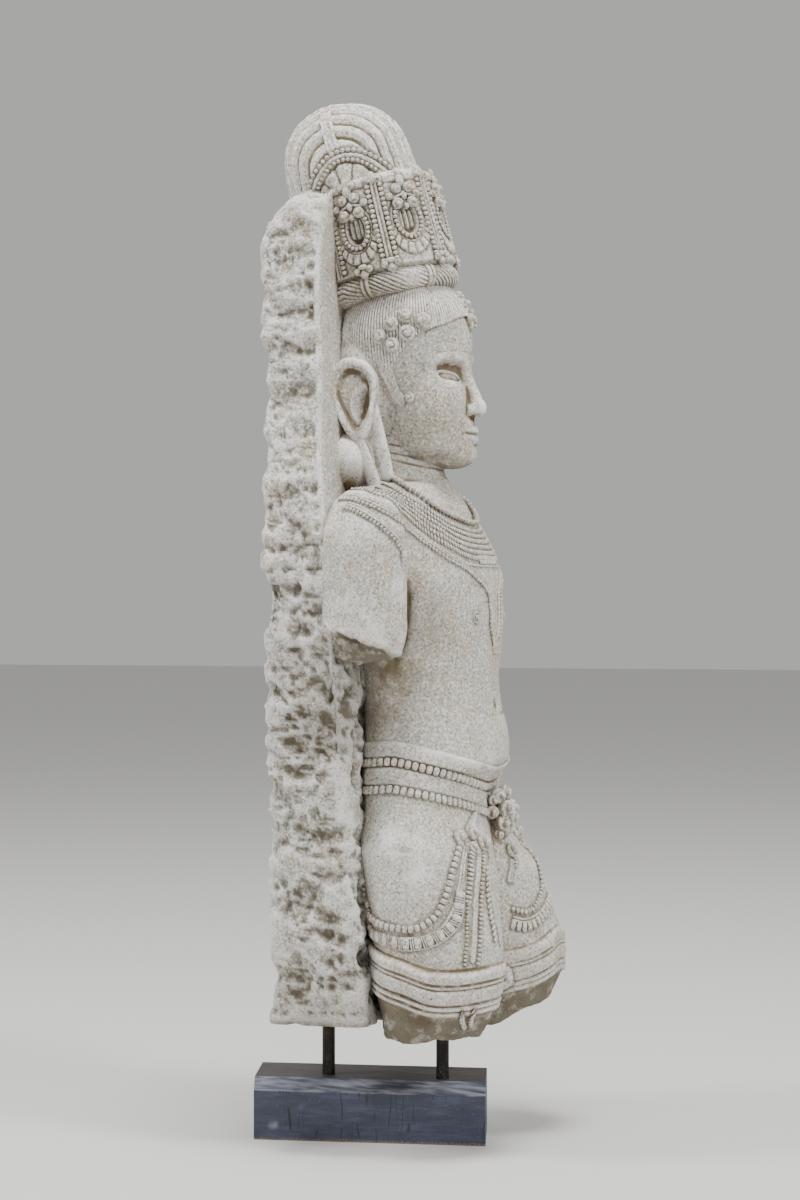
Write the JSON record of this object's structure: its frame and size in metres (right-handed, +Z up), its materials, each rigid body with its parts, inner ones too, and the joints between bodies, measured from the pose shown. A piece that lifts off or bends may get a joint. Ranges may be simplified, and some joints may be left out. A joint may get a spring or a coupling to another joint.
{
  "type": "stone deity statue on a rod mount",
  "caption": "Carved stone half figure of a deity with a tall crown and jewellery, backed by a rough slab, held above a dark timber block on two steel rods.",
  "frame": {"origin": "on the underside of the timber block, below the middle plane of the figure", "axes": "+Z up, the figure faces -Y, its own right hand is on the -X side"},
  "size_m": [0.3782, 0.3406, 1.134],
  "materials": {
    "sandstone": "carved, dry and rubbed, rough at the slab and the breaks",
    "rod_steel": "blackened round bar",
    "stained_timber": "dark blue-grey stain, scuffed at the edges"
  },
  "bodies": {
    "root": {"stone_figure": "sandstone", "rear_rod": "rod_steel", "front_rod": "rod_steel", "timber_block": "stained_timber"}
  },
  "joints": []
}
